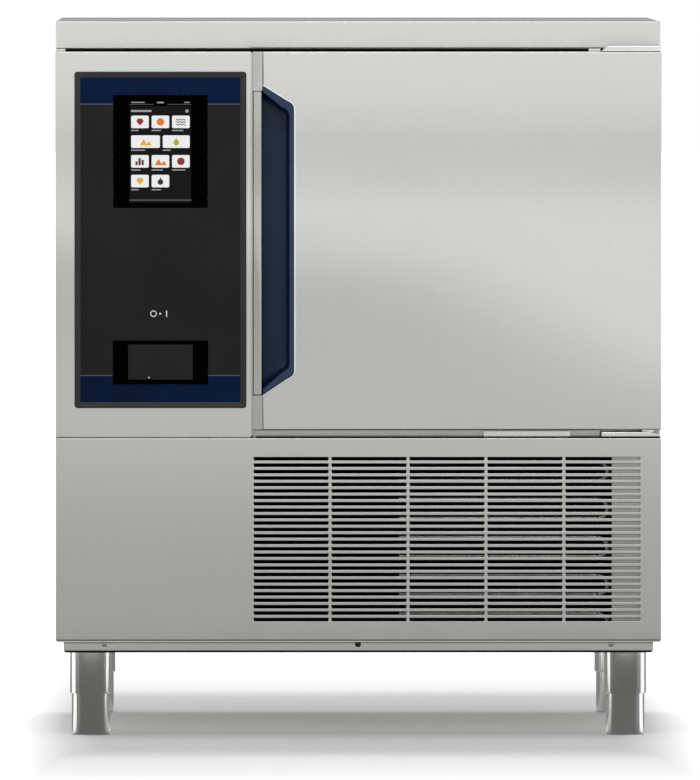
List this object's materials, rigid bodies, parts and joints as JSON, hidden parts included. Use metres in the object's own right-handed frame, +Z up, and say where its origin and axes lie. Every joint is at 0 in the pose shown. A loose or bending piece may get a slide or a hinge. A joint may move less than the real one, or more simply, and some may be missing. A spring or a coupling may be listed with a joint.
{
  "type": "blast chiller",
  "caption": "Free-standing stainless blast chiller: an insulated tray chamber with a side-hung door and a touch panel, over a cooling unit behind an air grille.",
  "frame": {"origin": "on the floor under the middle of the appliance, with the feet screwed in", "axes": "+X to the right as seen from the front, +Y to the back, +Z up; the door and the grille face -Y"},
  "size_m": [0.897, 0.937, 1.06],
  "materials": {
    "brushed_panel": "satin",
    "inner_steel": "satin",
    "polished_steel": "polished",
    "galvanised_steel": "matte",
    "dark_plastic": "satin",
    "blue_plastic": "satin",
    "black_glass": "gloss",
    "display": "gloss",
    "grey_plastic": "matte",
    "gasket_rubber": "matte",
    "foam": "matte",
    "circuit_board": "satin",
    "aluminium_fins": "satin",
    "copper": "satin",
    "black_paint": "satin",
    "white_plastic": "satin"
  },
  "bodies": {
    "cabinet": {"worktop": "brushed_panel", "side_panel_right": "brushed_panel", "side_panel_left": "brushed_panel", "rear_panel": "galvanised_steel", "front_frame": "inner_steel", "chamber_liner": "inner_steel", "cabinet_insulation": "foam", "base_tray": "brushed_panel", "lower_front_panel": "brushed_panel", "door_sill": "inner_steel", "top_hinge_plate": "polished_steel", "bottom_hinge_plate": "polished_steel", "control_housing": "brushed_panel", "control_bezel": "dark_plastic", "control_glass": "black_glass", "display_screen": "display", "control_board": "circuit_board", "service_bay": "black_glass", "tray_rack_left": "inner_steel", "tray_rack_right": "inner_steel", "wire_shelf_lower": "polished_steel", "wire_shelf_middle": "polished_steel", "wire_shelf_upper": "polished_steel", "fan_panel": "inner_steel", "evaporator_coil": "aluminium_fins", "expansion_valve": "copper", "drain_pipe": "white_plastic", "probe_gland": "dark_plastic", "evaporator_fan_motor": "galvanised_steel", "condenser_coil": "aluminium_fins", "condenser_fan_shroud": "galvanised_steel", "condenser_fan_motor": "black_paint", "compressor": "black_paint", "liquid_receiver": "black_paint", "filter_drier": "copper", "discharge_pipe": "copper", "condenser_return_pipe": "copper", "liquid_pipe": "copper", "suction_pipe": "copper", "electrical_box": "galvanised_steel", "mains_gland": "dark_plastic", "leg_sleeve_front_left": "polished_steel", "leg_sleeve_front_right": "polished_steel", "leg_sleeve_rear_left": "polished_steel", "leg_sleeve_rear_right": "polished_steel"},
    "door": {"door_skin": "brushed_panel", "door_insulation": "foam", "door_liner": "inner_steel", "door_gasket": "gasket_rubber", "handle_bar": "polished_steel", "handle_pocket": "blue_plastic", "door_edge": "brushed_panel"},
    "service_flap": {"service_flap": "grey_plastic"},
    "evaporator_fan": {"evaporator_fan": "dark_plastic"},
    "condenser_fan": {"condenser_fan": "galvanised_steel"},
    "leg_foot_front_left": {"leg_foot_front_left": "polished_steel"},
    "leg_foot_front_right": {"leg_foot_front_right": "polished_steel"},
    "leg_foot_rear_left": {"leg_foot_rear_left": "polished_steel"},
    "leg_foot_rear_right": {"leg_foot_rear_right": "polished_steel"}
  },
  "joints": [
    {"name": "door_hinge", "type": "hinge", "parent": "cabinet", "child": "door", "pos_m": [0.4265, -0.4385, 0.736], "axis": [0, 0, 1], "range_deg": [0, 120]},
    {"name": "service_flap_hinge", "type": "hinge", "parent": "cabinet", "child": "service_flap", "pos_m": [-0.2931, -0.465, 0.5803], "axis": [-1, 0, 0], "range_deg": [0, 95]},
    {"name": "evaporator_fan_spin", "type": "hinge", "parent": "cabinet", "child": "evaporator_fan", "pos_m": [-0.1791, 0.0385, 0.736], "axis": [1, 0, 0], "continuous": true},
    {"name": "condenser_fan_spin", "type": "hinge", "parent": "cabinet", "child": "condenser_fan", "pos_m": [0.207, -0.325, 0.2805], "axis": [0, 1, 0], "continuous": true},
    {"name": "leg_foot_front_left_screw", "type": "slide", "parent": "cabinet", "child": "leg_foot_front_left", "axis": [0, 0, 1], "range_m": [-0.04, 0]},
    {"name": "leg_foot_front_right_screw", "type": "slide", "parent": "cabinet", "child": "leg_foot_front_right", "axis": [0, 0, 1], "range_m": [-0.04, 0]},
    {"name": "leg_foot_rear_left_screw", "type": "slide", "parent": "cabinet", "child": "leg_foot_rear_left", "axis": [0, 0, 1], "range_m": [-0.04, 0]},
    {"name": "leg_foot_rear_right_screw", "type": "slide", "parent": "cabinet", "child": "leg_foot_rear_right", "axis": [0, 0, 1], "range_m": [-0.04, 0]}
  ]
}
